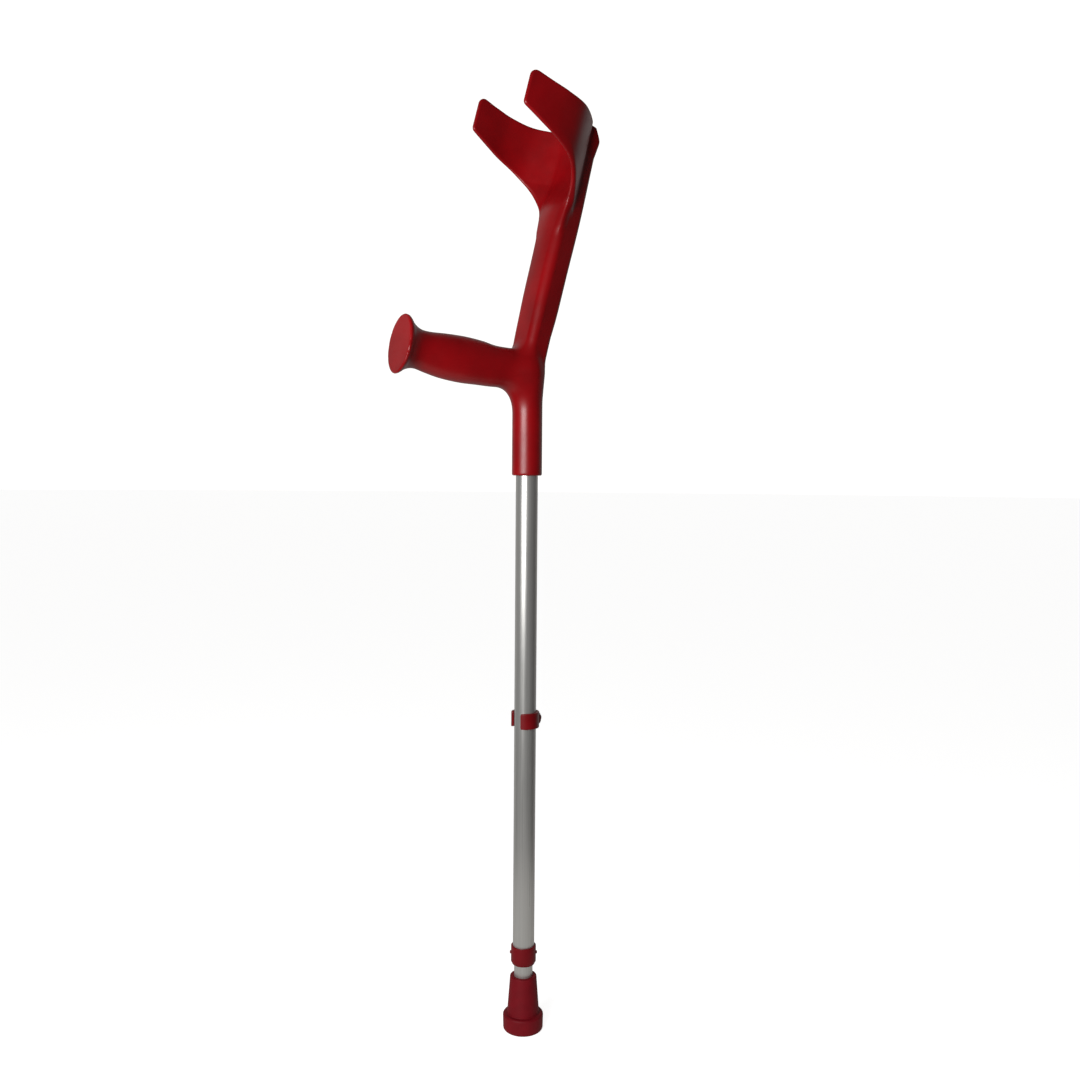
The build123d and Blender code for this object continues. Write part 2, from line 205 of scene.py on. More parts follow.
def add_world():
    """A world seen as plain white, whose light is pale behind the object and dim elsewhere."""
    world = bpy.data.worlds.new("studio")
    bpy.context.scene.world = world
    world.use_nodes = True
    tree = world.node_tree
    place = tree.nodes.new("ShaderNodeTexCoord")
    facing = tree.nodes.new("ShaderNodeVectorMath")
    facing.operation = "DOT_PRODUCT"
    facing.inputs[1].default_value = (-math.sin(CAMERA_TURN), -math.cos(CAMERA_TURN), 0)
    tree.links.new(place.outputs["Generated"], facing.inputs[0])
    behind = world_ramp(tree, facing.outputs["Value"], BACKDROP_EDGE[0], BACKDROP_EDGE[1])
    backdrop = tree.nodes.new("ShaderNodeMath")
    backdrop.operation = "MULTIPLY_ADD"
    backdrop.inputs[1].default_value = BACKDROP_LEVEL
    backdrop.inputs[2].default_value = ROOM_LEVEL
    tree.links.new(behind, backdrop.inputs[0])
    seen = tree.nodes.new("ShaderNodeLightPath")
    level = tree.nodes.new("ShaderNodeMix")
    tree.links.new(seen.outputs["Is Camera Ray"], level.inputs[0])
    tree.links.new(backdrop.outputs[0], level.inputs[2])
    level.inputs[3].default_value = SEEN_LEVEL
    tree.links.new(level.outputs[0], tree.nodes["Background"].inputs["Strength"])
    tree.nodes["Background"].inputs["Color"].default_value = ROOM_COLOUR


def add_lights():
    """The key light, the sheet below, the world around, and a plain view of them."""
    add_key()
    add_white_sheet()
    add_world()
    bpy.context.scene.view_settings.view_transform = "Standard"


def lathe_mesh(name, profile, segments, closed=False):
    """A mesh turned about Z from (radius, height) points in metres; radius 0 closes to one point."""
    vertices, faces, rows = [], [], []
    for radius, height in profile:
        if radius < 1e-9:
            rows.append([len(vertices)])
            vertices.append((0, 0, height))
            continue
        row = []
        for step in range(segments):
            angle = 2 * math.pi * step / segments
            row.append(len(vertices))
            vertices.append((radius * math.cos(angle), radius * math.sin(angle), height))
        rows.append(row)
    pairs = list(zip(rows, rows[1:]))
    if closed:
        pairs.append((rows[-1], rows[0]))
    for low, high in pairs:
        for step in range(segments):
            after = (step + 1) % segments
            if len(low) == 1:
                faces.append((low[0], high[after], high[step]))
            elif len(high) == 1:
                faces.append((low[step], low[after], high[0]))
            else:
                faces.append((low[step], low[after], high[after], high[step]))
    mesh = bpy.data.meshes.new(name)
    mesh.from_pydata(vertices, [], faces)
    mesh.polygons.foreach_set("use_smooth", [True] * len(mesh.polygons))
    return mesh


# ---------------------------------------------------------------- solids as distance fields
def smooth_min(a, b, reach):
    """The union of two solids with a fillet that spreads by reach along each."""
    mix = np.clip(0.5 + 0.5 * (b - a) / reach, 0, 1)
    return b * (1 - mix) + a * mix - reach * mix * (1 - mix)


def round_max(a, b, radius):
    """The solid that two solids share, with its edge rounded."""
    over = np.hypot(np.maximum(a + radius, 0), np.maximum(b + radius, 0))
    return np.minimum(np.maximum(a + radius, b + radius), 0) + over - radius


def rounded_box(a, b, half_a, half_b, corner):
    """Distance to a rectangle with rounded corners, centred on zero."""
    past_a = np.abs(a) - half_a + corner
    past_b = np.abs(b) - half_b + corner
    outside = np.hypot(np.maximum(past_a, 0), np.maximum(past_b, 0))
    return outside + np.minimum(np.maximum(past_a, past_b), 0) - corner


def smooth_curve(stations, count=24):
    """A smooth open curve through (x, y) stations, as Catmull-Rom points."""
    points = np.array(stations, float)
    ends = np.vstack([2 * points[0] - points[1], points, 2 * points[-1] - points[-2]])
    out = []
    for before, start, end, after in zip(ends, ends[1:], ends[2:], ends[3:]):
        for t in np.arange(count) / count:
            out.append(
                0.5
                * (
                    2 * start
                    + (end - before) * t
                    + (2 * before - 5 * start + 4 * end - after) * t**2
                    + (3 * start - before - 3 * end + after) * t**3
                )
            )
    return np.array(out + [points[-1]])


def along(stations, at):
    """A value read at places along a smooth curve of (place, value) stations."""
    curve = smooth_curve(stations)
    return np.interp(at, curve[:, 0], curve[:, 1])


def curve_distance(a, b, points):
    """Unsigned distance from (a, b) to an open chain of points."""
    shape = np.broadcast_shapes(np.shape(a), np.shape(b))
    nearest = np.full(shape, np.inf)
    for start, end in zip(points, points[1:]):
        step = end - start
        length = step @ step
        if length < 1e-12:
            continue
        t = np.clip(((a - start[0]) * step[0] + (b - start[1]) * step[1]) / length, 0, 1)
        gap = (a - start[0] - t * step[0]) ** 2 + (b - start[1] - t * step[1]) ** 2
        nearest = np.minimum(nearest, gap)
    return np.sqrt(nearest)


def outline_distance(a, b, points):
    """Signed distance from (a, b) to a closed outline, negative inside."""
    closed = np.vstack([points, points[:1]])
    inside = np.zeros(np.broadcast_shapes(np.shape(a), np.shape(b)), bool)
    for start, end in zip(closed, closed[1:]):
        if start[1] == end[1]:
            continue
        spans = (start[1] > b) != (end[1] > b)
        crossing = start[0] + (b - start[1]) * (end[0] - start[0]) / (end[1] - start[1])
        inside ^= spans & (a < crossing)
    away = curve_distance(a, b, closed)
    return np.where(inside, -away, away)


def surface_net(field, low, step):
    """A quad mesh of where a sampled field is zero: (vertices, faces)."""
    inside = field < 0
    corners = [(i, j, k) for i in (0, 1) for j in (0, 1) for k in (0, 1)]
    size = np.array(field.shape) - 1
    filled = np.zeros(tuple(size), np.uint8)
    for i, j, k in corners:
        filled += inside[i : i + size[0], j : j + size[1], k : k + size[2]]
    cells = np.argwhere((filled > 0) & (filled < 8))
    number = np.full(tuple(size), -1, np.int32)
    number[tuple(cells.T)] = np.arange(len(cells))
    total = np.zeros((len(cells), 3))
    count = np.zeros(len(cells))
    for start in corners:
        for axis in range(3):
            if start[axis]:
                continue
            end = list(start)
            end[axis] = 1
            first = field[tuple((cells + start).T)]
            last = field[tuple((cells + end).T)]
            cuts = (first < 0) != (last < 0)
            share = np.where(cuts, first / np.where(cuts, first - last, 1), 0)
            place = cells + np.array(start, float)
            place[:, axis] += share
            total += place * cuts[:, None]
            count += cuts
    vertices = total / count[:, None] * step + low
    faces = []
    for axis in range(3):
        one, two = [(1, 2), (2, 0), (0, 1)][axis]
        here = [slice(None)] * 3
        there = [slice(None)] * 3
        here[axis] = slice(0, -1)
        there[axis] = slice(1, None)
        change = inside[tuple(here)] != inside[tuple(there)]
        edges = np.argwhere(change)
        keep = (edges[:, one] > 0) & (edges[:, two] > 0)
        keep &= (edges[:, one] < size[one]) & (edges[:, two] < size[two])
        edges = edges[keep]
        quad = []
        for back_one, back_two in ((1, 1), (0, 1), (0, 0), (1, 0)):
            cell = edges.copy()
            cell[:, one] -= back_one
            cell[:, two] -= back_two
            quad.append(number[tuple(cell.T)])
        quad = np.array(quad).T
        outward = inside[tuple(edges.T)]
        quad[~outward] = quad[~outward][:, ::-1]
        faces.append(quad)
    return vertices, np.vstack(faces)


def pull_to_surface(field, vertices, rounds=2, probe=0.05):
    """Moves each vertex straight onto the field's zero surface."""
    points = vertices.copy()
    for _ in range(rounds):
        here = field(*points.T)
        slope = np.empty_like(points)
        for axis in range(3):
            shift = np.zeros(3)
            shift[axis] = probe
            slope[:, axis] = (field(*(points + shift).T) - here) / probe
        size = np.maximum((slope**2).sum(1), 0.05)
        points -= slope * (here / size)[:, None]
    return points


def relax(vertices, faces, share=0.5):
    """Moves each vertex part of the way to the middle of its neighbours."""
    total = np.zeros_like(vertices)
    count = np.zeros(len(vertices))
    for corner in range(4):
        here, after = faces[:, corner], faces[:, (corner + 1) % 4]
        for one, two in ((here, after), (after, here)):
            for axis in range(3):
                total[:, axis] += np.bincount(one, vertices[two, axis], len(vertices))
            count += np.bincount(one, minlength=len(vertices))
    return vertices + share * (total / count[:, None] - vertices)


def solid_from_field(name, field, low, high, step, place=lambda points: points):
    """A mesh object of a distance field in mm; place turns its points into the row frame."""
    low = np.array(low, float)
    high = np.array(high, float)
    counts = np.round((high - low) / step).astype(int) + 1
    axes = [low[axis] + step * np.arange(counts[axis]) for axis in range(3)]
    grid = field(axes[0][:, None, None], axes[1][None, :, None], axes[2][None, None, :])
    vertices, faces = surface_net(grid.astype(np.float32), low, step)
    vertices = pull_to_surface(field, vertices, 1)
    vertices = pull_to_surface(field, relax(vertices, faces))
    mesh = bpy.data.meshes.new(name)
    mesh.from_pydata((place(vertices) * MM).tolist(), [], faces.tolist())
    mesh.polygons.foreach_set("use_smooth", [True] * len(mesh.polygons))
    piece = bpy.data.objects.new(name, mesh)
    bpy.context.scene.collection.objects.link(piece)
    return piece


# ---------------------------------------------------------------- the moulded handle
# In the handle's own frame: f forwards across the leaning stem, y to the left, u up the stem.
# The STEM tables run along u. The GRIP tables run along x, with centres as heights above the ground
# and the lean of each section in degrees.
STEM_FRONT = [(-60, -8), (-40, -2), (-12, 9.4), (40, 12.4), (90, 13.8), (125, 14.4), (140, 13.9),
              (151, 12.0), (165, 8.4), (180, 4.6), (200, 1.8), (216, 1.0), (250, 1.0)]
STEM_HALF_WIDTH = [(-60, 9.0), (-40, 12.6), (-12, 17.0), (30, 18.8), (90, 19.6), (120, 20.3),
                   (150, 20.2), (200, 18.2), (222, 18.0)]
STEM_CORNER = [(-60, 8), (60, 8.5), (105, 8), (130, 6), (150, 5), (170, 4), (250, 2.6)]
STEM_CROWN = [(-60, 0), (20, 0.4), (70, 1.2), (110, 3.2), (138, 5.2), (155, 5.4), (180, 2), (200, 0),
              (250, 0)]
RAIL_BACK = -15.6
STEM_BACK = [(-60, -26), (-46, -22.6), (-12, -14.2), (40, RAIL_BACK), (90, RAIL_BACK), (250, RAIL_BACK)]
STEM_FRONT_TRIM = 0.2
RAIL_BEVEL = 223.6
BEVEL_SLOPE = (0.814, 0.581)
STEM_TAPER = 0.19
TAPER_FROM = 4.0
TAPER_FOOT = -12.0
TAPER_TOP = 224.0
STEM_BACK_CORNER = 4.0
STEM_TOP = 236.4
STEM_END = -58.0
EDGE_ROUNDING = 1.2
HANDLE_GRID = ((-52, -54, -128), (146, 54, 244))

# how far the fillets between the moulding's parts spread along each
SLEEVE_FILLET = 3.0
GRIP_FILLET = 12.0
GRIP_FILLET_BELOW = 23.0
BELOW_GRIP_Z = 684.0
CUFF_FILLET = 3.5
CUFF_FILLET_INSIDE = 14.5

KNOB_ROUNDING = 1.3
KNOB_FACE = (141.8, 687.4)
KNOB_HEIGHT = 56.0
KNOB_WIDTH = 43.6
GRIP_CENTRE = [(-10, 671.8), (6, 672.4), (38, 673.1), (56, 675.3), (76, 677.2), (96, 679.2),
               (111, 681.2), (121, 683.2), (133.5, 685.7), KNOB_FACE, (154, 689.8)]
GRIP_HEIGHT = [(-10, 36), (6, 37.9), (38, 39.8), (56, 42.6), (76, 44.2), (96, 42.4), (111, 38.8),
               (121, 36.8), (127.5, 39.0), (133.5, 45.4), (138.4, 54.2), (KNOB_FACE[0], KNOB_HEIGHT),
               (154, KNOB_HEIGHT)]
GRIP_WIDTH = [(-10, 35), (6, 34.5), (38, 31.5), (56, 32), (76, 33), (96, 32), (111, 30), (121, 29.2),
              (127.5, 30.4), (133.5, 35.0), (138.4, 42.0), (KNOB_FACE[0], KNOB_WIDTH),
              (154, KNOB_WIDTH)]
GRIP_LEAN = [(-10, 2), (6, 3), (38, 4), (56, 6), (76, 7), (96, 8), (111, 9.5), (121, 11), (154, 11)]


def handle_to_row(points):
    """Turns points from the handle's own frame into the row frame."""
    f, y, u = points.T
    return np.stack([f * COS_LEAN - u * SIN_LEAN, y, STEM_FOOT_Z + f * SIN_LEAN + u * COS_LEAN], 1)


def rounded_corner(before, corner, after, radius, count=8):
    """Points of the arc that rounds one corner of an outline."""
    into = (before - corner) / np.linalg.norm(before - corner)
    out = (after - corner) / np.linalg.norm(after - corner)
    half = 0.5 * math.acos(float(np.clip(into @ out, -1, 1)))
    run = radius / math.tan(half)
    middle = corner + (into + out) / np.linalg.norm(into + out) * radius / math.sin(half)
    start = corner + into * run - middle
    end = corner + out * run - middle
    sweep = math.atan2(start[0] * end[1] - start[1] * end[0], start @ end)
    arc = []
    for step in range(count + 1):
        turn = sweep * step / count
        cos_turn, sin_turn = math.cos(turn), math.sin(turn)
        first = start[0] * cos_turn - start[1] * sin_turn
        second = start[0] * sin_turn + start[1] * cos_turn
        arc.append(middle + [first, second])
    return np.array(arc)


CUFF_HALF_PLAN = [(-3.2, 0.0), (-0.2, 15.0), (6.0, 27.7), (28, 45.4), (52, 50.3), (74, 49.65),
                  (100, 47.6)]
CUFF_BOTTOM = 126
CUFF_LOWER_EDGE = [(100, 205.0), (CUFF_REACH, 203.2), (60, 190.4), (36.5, 181.2), (20, 168.0),
                   (12, 150), (8, CUFF_BOTTOM)]
CUFF_FLARE = [(15.0, 112), (16.6, 128), (20.6, 142), (30.0, 157.6), (39.5, 171.4), (46.5, 181.8),
              (53.0, 199)]
CUFF_BACK = -30
CUFF_TOP = 235.5
CUFF_TOP_RISE = 3.4
CUFF_THICKER = 3.5
CUFF_THICKER_BELOW = 178.0
CUFF_ROUNDING = 1.7


def cuff_top_edge():
    """The cuff's top edge seen from the side, lowest at its middle and rising to the tips."""
    lowest, tip_run, back_rise, steps = 38, 56, 0.35, 16
    top = []
    for step in range(steps + 1):
        forward = -20 + (CUFF_REACH + 20) * step / steps
        share = 1 if forward > lowest else back_rise
        top.append((forward, CUFF_TOP + CUFF_TOP_RISE * ((forward - lowest) / tip_run) ** 2 * share))
    return np.array(top)


def cuff_outlines():
    """The cuff's three outlines: its outside in plan, its side view and its front view."""
    right_half = [(forward, -side) for forward, side in reversed(CUFF_HALF_PLAN[1:])]
    tip_width = CUFF_HALF_PLAN[-1][1]
    plan = np.vstack([smooth_curve(right_half + CUFF_HALF_PLAN, 10),
                      [(160, tip_width), (160, -tip_width)]])
    per_span = 12
    lower = smooth_curve(CUFF_LOWER_EDGE, per_span)[per_span:]
    top = cuff_top_edge()
    high_corner = np.array([CUFF_REACH, top[-1][1]])
    low_corner = lower[0]
    side = np.vstack([top[:-2], rounded_corner(top[-3], high_corner, low_corner, 7.0),
                      rounded_corner(high_corner, low_corner, lower[9], 5.0), lower[6:],
                      [(CUFF_BACK, CUFF_BOTTOM), (CUFF_BACK, top[0][1])]])
    flare = smooth_curve(CUFF_FLARE, 10)
    front = np.vstack([flare, [(60, 260), (-60, 260)], (flare * (-1, 1))[::-1]])
    return plan, side, front


CUFF_PLAN, CUFF_SIDE, CUFF_FRONT = cuff_outlines()


def sleeve_field(x, y, z):
    """The round sleeve about the upper tube."""
    wall = np.hypot(x, y) - SLEEVE_R
    return round_max(round_max(wall, SLEEVE_BOTTOM + 0.05 - z, 1.6), z - SLEEVE_TOP, 4)


def stem_field(f, y, u):
    """The leaning stem, with its crowned front, tapered back and bevelled top."""
    front = along(STEM_FRONT, u) + STEM_FRONT_TRIM
    half_width = along(STEM_HALF_WIDTH, u)
    back = along(STEM_BACK, u)
    middle = (front + back) / 2
    depth = (front - back) / 2
    corner = np.where(f > middle, along(STEM_CORNER, u), STEM_BACK_CORNER)
    corner = np.minimum(corner, 0.8 * depth)
    crown = along(STEM_CROWN, u) * (y / half_width) ** 2 * np.clip((f - middle) / depth, 0, 1)
    tapering = np.clip((TAPER_TOP - u) / 16, 0, 1) * np.clip((u - TAPER_FOOT) / 30, 0, 1)
    tapered = np.abs(y) + STEM_TAPER * np.clip(TAPER_FROM - f, 0, 20) * tapering
    section = rounded_box(f + crown - middle, tapered, depth, half_width, corner)
    bevel = (u - RAIL_BEVEL) * BEVEL_SLOPE[1] - (f - RAIL_BACK) * BEVEL_SLOPE[0]
    ends = np.maximum(u - STEM_TOP, STEM_END - u)
    return round_max(round_max(section, ends, EDGE_ROUNDING), bevel, EDGE_ROUNDING)


def grip_field(x, y, z):
    """The hand grip: oval sections that lean with it, flaring into the knob."""
    slant = np.radians(along(GRIP_LEAN, x))
    place = x + (z - along(GRIP_CENTRE, x)) * np.tan(slant)
    slant = np.radians(along(GRIP_LEAN, place))
    place = x + (z - along(GRIP_CENTRE, place)) * np.tan(slant)
    up = (z - along(GRIP_CENTRE, place)) / np.cos(slant)
    half_height = along(GRIP_HEIGHT, place) / 2
    half_width = along(GRIP_WIDTH, place) / 2
    reach = np.sqrt((up / half_height) ** 2 + (y / half_width) ** 2)
    wall = (reach - 1) * np.minimum(half_height, half_width)
    end = (x - KNOB_FACE[0]) * math.cos(GRIP_TILT) + (z - KNOB_FACE[1]) * math.sin(GRIP_TILT)
    return round_max(round_max(wall, end, KNOB_ROUNDING), 2 - x, 2)


def cuff_field(f, y, u):
    """The cuff's wall, cut to its side and front views, thicker towards its foot."""
    outside = outline_distance(f, y, CUFF_PLAN)
    thickness = CUFF_WALL + CUFF_THICKER * np.clip((CUFF_THICKER_BELOW - u) / 30, 0, 1)
    wall = np.maximum(outside, -outside - thickness)
    side = outline_distance(f, u, CUFF_SIDE)
    front = outline_distance(y, u, CUFF_FRONT)
    return round_max(wall, round_max(side, front, 1.0), CUFF_ROUNDING)


def handle_field(f, y, u):
    """The whole moulding, with wide fillets below the grip and inside the cuff."""
    x = f * COS_LEAN - u * SIN_LEAN
    z = STEM_FOOT_Z + f * SIN_LEAN + u * COS_LEAN
    trunk = smooth_min(sleeve_field(x, y, z), stem_field(f, y, u), SLEEVE_FILLET)
    below = np.clip((BELOW_GRIP_Z - z) / 16, 0, 1)
    grip_fillet = GRIP_FILLET + (GRIP_FILLET_BELOW - GRIP_FILLET) * below
    body = smooth_min(trunk, grip_field(x, y, z), grip_fillet)
    inside_cuff = np.clip((f - 2) / 8, 0, 1)
    cuff_fillet = CUFF_FILLET + (CUFF_FILLET_INSIDE - CUFF_FILLET) * inside_cuff
    return smooth_min(body, cuff_field(f, y, u), cuff_fillet)


# ---------------------------------------------------------------- the other pieces
def lathe_solid(name, outline, segments=ROUND_SEGMENTS, closed=False):
    """A round solid about Z from (radius, height) points in mm, as an object."""
    profile = [(radius * MM, height * MM) for radius, height in outline]
    mesh = lathe_mesh(name, profile, segments, closed)
    piece = bpy.data.objects.new(name, mesh)
    bpy.context.scene.collection.objects.link(piece)
    return piece


def rounded_outline(corners, count=5):
    """An outline through (radius, height, rounding) corners, each rounded by its own radius."""
    places = [np.array(corner[:2], float) for corner in corners]
    out = [tuple(places[0])]
    for index in range(1, len(corners) - 1):
        rounding = corners[index][2]
        if rounding:
            arc = rounded_corner(places[index - 1], places[index], places[index + 1], rounding, count)
            out.extend(map(tuple, arc))
        else:
            out.append(tuple(places[index]))
    out.append(tuple(places[-1]))
    return out


def rounded_ring(outer, inner, bottom, top, rounding):
    """The closed outline of a ring with all four edges rounded."""
    seam = ((outer + inner) / 2, bottom, 0)
    corners = [seam, (outer, bottom, rounding), (outer, top, rounding),
               (inner, top, rounding), (inner, bottom, rounding), seam]
    return rounded_outline(corners, 4)[:-1]


def across(piece, height, bearing=180.0):
    """Lays a piece made about Z across the tubes, at a height and pointing out along a bearing."""
    turn = Matrix.Rotation(math.radians(bearing), 4, "Z") @ Matrix.Rotation(math.pi / 2, 4, "Y")
    piece.data.transform(Matrix.Translation((0, 0, height * MM)) @ turn)
    return piece


def cut(piece, tools):
    """Cuts tool solids out of a piece and deletes them, keeping the cut's edges sharp."""
    for tool in tools:
        modifier = piece.modifiers.new("cut", "BOOLEAN")
        modifier.operation = "DIFFERENCE"
        modifier.solver = "EXACT"
        modifier.object = tool
    shaped = piece.evaluated_get(bpy.context.evaluated_depsgraph_get())
    mesh = bpy.data.meshes.new_from_object(shaped)
    piece.modifiers.clear()
    piece.data = mesh
    for tool in tools:
        bpy.data.objects.remove(tool)
    mesh.set_sharp_from_angle(angle=SHARP_ANGLE)


def rod(radius, near, far, height):
    """A round bar lying behind the tubes' axis, from near to far out."""
    bar = lathe_solid("rod", [(0, near), (radius, near), (radius, far), (0, far)], SMALL_SEGMENTS)
    return across(bar, height)


def join(first, others):
    """Merges the meshes of other objects into the first object."""
    with bpy.context.temp_override(active_object=first, selected_editable_objects=[first, *others]):
        bpy.ops.object.join()
    return first


def finish_piece(piece, body, node):
    """Hides the CAD node a piece stands for and hangs the piece on the body that carries it."""
    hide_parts(node)
    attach(piece, body)
    return piece


def knob_frame():
    """The matrix from the knob face's own frame, X across, Y up the face and Z outwards."""
    outwards = Vector((math.cos(GRIP_TILT), 0, math.sin(GRIP_TILT)))
    up = Vector((-math.sin(GRIP_TILT), 0, math.cos(GRIP_TILT)))
    axes = Matrix((up.cross(outwards), up, outwards)).transposed().to_4x4()
    return Matrix.Translation(Vector((KNOB_FACE[0], 0, KNOB_FACE[1])) * MM) @ axes


def oval_solid(name, rings):
    """A solid of oval rings (half-width, half-height, depth) in mm on the knob's face."""
    profile = [(1.0 if half_width else 0.0, 0.0) for half_width, _, _ in rings]
    mesh = lathe_mesh(name, profile, ROUND_SEGMENTS)
    row = 0
    for half_width, half_height, depth in rings:
        count = ROUND_SEGMENTS if half_width else 1
        for vertex in mesh.vertices[row : row + count]:
            vertex.co = (vertex.co.x * half_width * MM, vertex.co.y * half_height * MM, depth * MM)
        row += count
    mesh.transform(knob_frame())
    piece = bpy.data.objects.new(name, mesh)
    bpy.context.scene.collection.objects.link(piece)
    return piece


KNOB_RIM = 2.2
CAP_HALF_WIDTH = KNOB_WIDTH / 2 - KNOB_RIM
CAP_HALF_HEIGHT = KNOB_HEIGHT / 2 - KNOB_RIM
CAP_THICKNESS = 2.2
CAP_DISH = 0.9
CAP_GAP = 0.12
PLUG_OUTER = (8.8, 12.6)
PLUG_INNER = (7.0, 10.8)
PLUG_LENGTH = 7
SOCKET_GAP = 0.4
SOCKET_DEPTH = 60


def cap_rings():
    """The end cap's rings, from the middle of its dished face round to its back and its plug."""
    dish_edge = 0.91
    rings = [(0, 0, -CAP_DISH)]
    for share in (0.12, 0.25, 0.4, 0.55, 0.68, 0.78, 0.86, dish_edge):
        fall = (share / dish_edge) ** 3
        depth = -CAP_DISH * (1 - fall) - 0.08
        rings.append((share * CAP_HALF_WIDTH, share * CAP_HALF_HEIGHT, depth))
    rounding = ((1.6, -0.02), (0.9, -0.02), (0.45, -0.12), (0.2, -0.3), (CAP_GAP, -0.6),
                (CAP_GAP, -CAP_THICKNESS))
    for inset, depth in rounding:
        rings.append((CAP_HALF_WIDTH - inset, CAP_HALF_HEIGHT - inset, depth))
    for size, depth in ((PLUG_OUTER, 0), (PLUG_OUTER, PLUG_LENGTH), (PLUG_INNER, PLUG_LENGTH),
                        (PLUG_INNER, 0)):
        rings.append((*size, -CAP_THICKNESS - depth))
    rings.append((0, 0, -CAP_THICKNESS))
    return rings


def make_end_cap():
    """The dished oval cap inside the knob's rim."""
    cap = oval_solid("end_cap", cap_rings())
    cap.data.set_sharp_from_angle(angle=SHARP_ANGLE)
    return finish_piece(cap, "shaft", "grip_end_cap")


def make_handle():
    """The one-piece moulding, bored for the tube and recessed for the end cap."""
    handle = solid_from_field("handle", handle_field, *HANDLE_GRID, HANDLE_STEP, handle_to_row)
    bore_r = TUBE_R + 0.03
    bore_foot, bore_top = SLEEVE_BOTTOM - 5, UPPER_TUBE_ENDS[1]
    outline = [(0, bore_foot), (bore_r, bore_foot), (bore_r, bore_top), (0, bore_top)]
    bore = lathe_solid("bore", outline, 96)
    cap_size = (CAP_HALF_WIDTH, CAP_HALF_HEIGHT)
    socket = tuple(half + SOCKET_GAP for half in PLUG_OUTER)
    recess = oval_solid("recess", [(0, 0, 3), (*cap_size, 3), (*cap_size, -CAP_THICKNESS),
                                   (*socket, -CAP_THICKNESS), (*socket, -SOCKET_DEPTH),
                                   (0, 0, -SOCKET_DEPTH)])
    cut(handle, [bore, recess])
    return finish_piece(handle, "shaft", "handle_body")


def tube(name, radius, ends, holes):
    """A tube with rounded ends and holes in its back."""
    outline = rounded_ring(radius, radius - TUBE_WALL, *ends, 0.3)
    piece = lathe_solid(name, outline, closed=True)
    cut(piece, holes)
    return piece


def make_tubes():
    """The two tubes: the lower one has the row of height holes."""
    upper = tube("tube_outer", TUBE_R, UPPER_TUBE_ENDS,
                 [rod(HOLE_R, 4, 14, PEG_Z), rod(RIVET_R, 4, 14, RIVET_Z)])
    lower = tube("tube_inner", LOWER_TUBE_R, LOWER_TUBE_ENDS,
                 [rod(HOLE_R, 3, 13, PEG_Z + step * HOLE_PITCH) for step in range(HOLE_COUNT)])
    return (finish_piece(upper, "shaft", "upper_tube"),
            finish_piece(lower, "lower_leg", "lower_tube"))


def make_rivet():
    """A blind rivet's domed head behind the sleeve, with its shank and formed tail."""
    outline = [(0, 16.0), (0.9, 15.97), (1.9, 15.82), (2.8, 15.5), (3.35, 15.1), (3.55, 14.8),
               (3.55, 14.4), (RIVET_R, 14.4), (RIVET_R, 9.15), (2.9, 9.15), (2.9, 7.4), (0, 7.2)]
    rivet = across(lathe_solid("rivet", outline, SMALL_SEGMENTS), RIVET_Z)
    rivet.data.set_sharp_from_angle(angle=SHARP_ANGLE)
    return finish_piece(rivet, "shaft", "sleeve_rivet")


def make_ferrule():
    """The rubber tip: cone, wide foot, socket and ribbed tread."""
    socket_r = LOWER_TUBE_R + 0.02
    corners = [(0, 0, 0)]
    for radius in (6.0, 10.5, 15.0):
        inner, outer = radius - 0.9, radius + 0.9
        corners += [(inner, 0, 0.3), (inner, 1.5, 0.3), (outer, 1.5, 0.3), (outer, 0, 0.3)]
    corners += [(20.3, 0, 2.2), (20.7, 17.0, 2.4), (16.4, 17.0, 0.9), (13.5, 56.0, 1.2),
                (socket_r, 56.0, 0.4), (socket_r, 16.0, 0), (0, 16.0, 0)]
    ferrule = lathe_solid("ferrule_rubber", rounded_outline(corners, 6), 160)
    ferrule.data.set_sharp_from_angle(angle=SHARP_ANGLE)
    return finish_piece(ferrule, "lower_leg", "ferrule")


def make_collar():
    """The collar on the upper tube's end, with a latch pip on either side."""
    corners = [(11.0, 68.7, 0), (10.9, 68.7, 0.3), (12.78, 71.1, 0.6), (12.78, 87.6, 0.6),
               (11.02, 87.6, 0.25), (11.02, 72.0, 0), (9.6, 72.0, 0), (9.6, 68.7, 0.2), (11.0, 68.7, 0)]
    collar = lathe_solid("collar", rounded_outline(corners, 4)[:-1], closed=True)
    dome = [(0, 11.5), (1.6, 11.5), (1.6, 13.35), (1.5, 13.65), (1.25, 13.88), (0.85, 13.97), (0, 14.0)]
    pips = [across(lathe_solid("pip", dome, 32), PIP_Z, bearing) for bearing in (146, 326)]
    collar = join(collar, pips)
    collar.data.set_sharp_from_angle(angle=SHARP_ANGLE)
    return finish_piece(collar, "shaft", "anti_rattle_collar")


BAND_R = 12.75
BAND_HALF_WALL = 1.43
BAND_HALF_GAP = 36
BOSS_R = 7.1
BOSS_BACK = 15.05
PEG_HOLE_R = 3.05


def band_field(x, y, z):
    """The clip's C-shaped band with its rounded ends, and the boss that carries the button."""
    radius = np.hypot(x, y)
    bearing = np.arctan2(y, -x)
    height = z - PEG_Z
    wall = np.abs(radius - BAND_R) - BAND_HALF_WALL
    half_run = math.radians(180 - BAND_HALF_GAP) * BAND_R
    around = rounded_box(bearing * BAND_R, height, half_run, BAND_HEIGHT / 2, 1.8)
    band = round_max(wall, around, 0.55)
    boss = round_max(np.hypot(y, height) - BOSS_R, -x - BOSS_BACK, 0.7)
    boss = np.maximum(np.maximum(boss, x + 5), 11.35 - radius)
    return smooth_min(band, boss, 0.9)


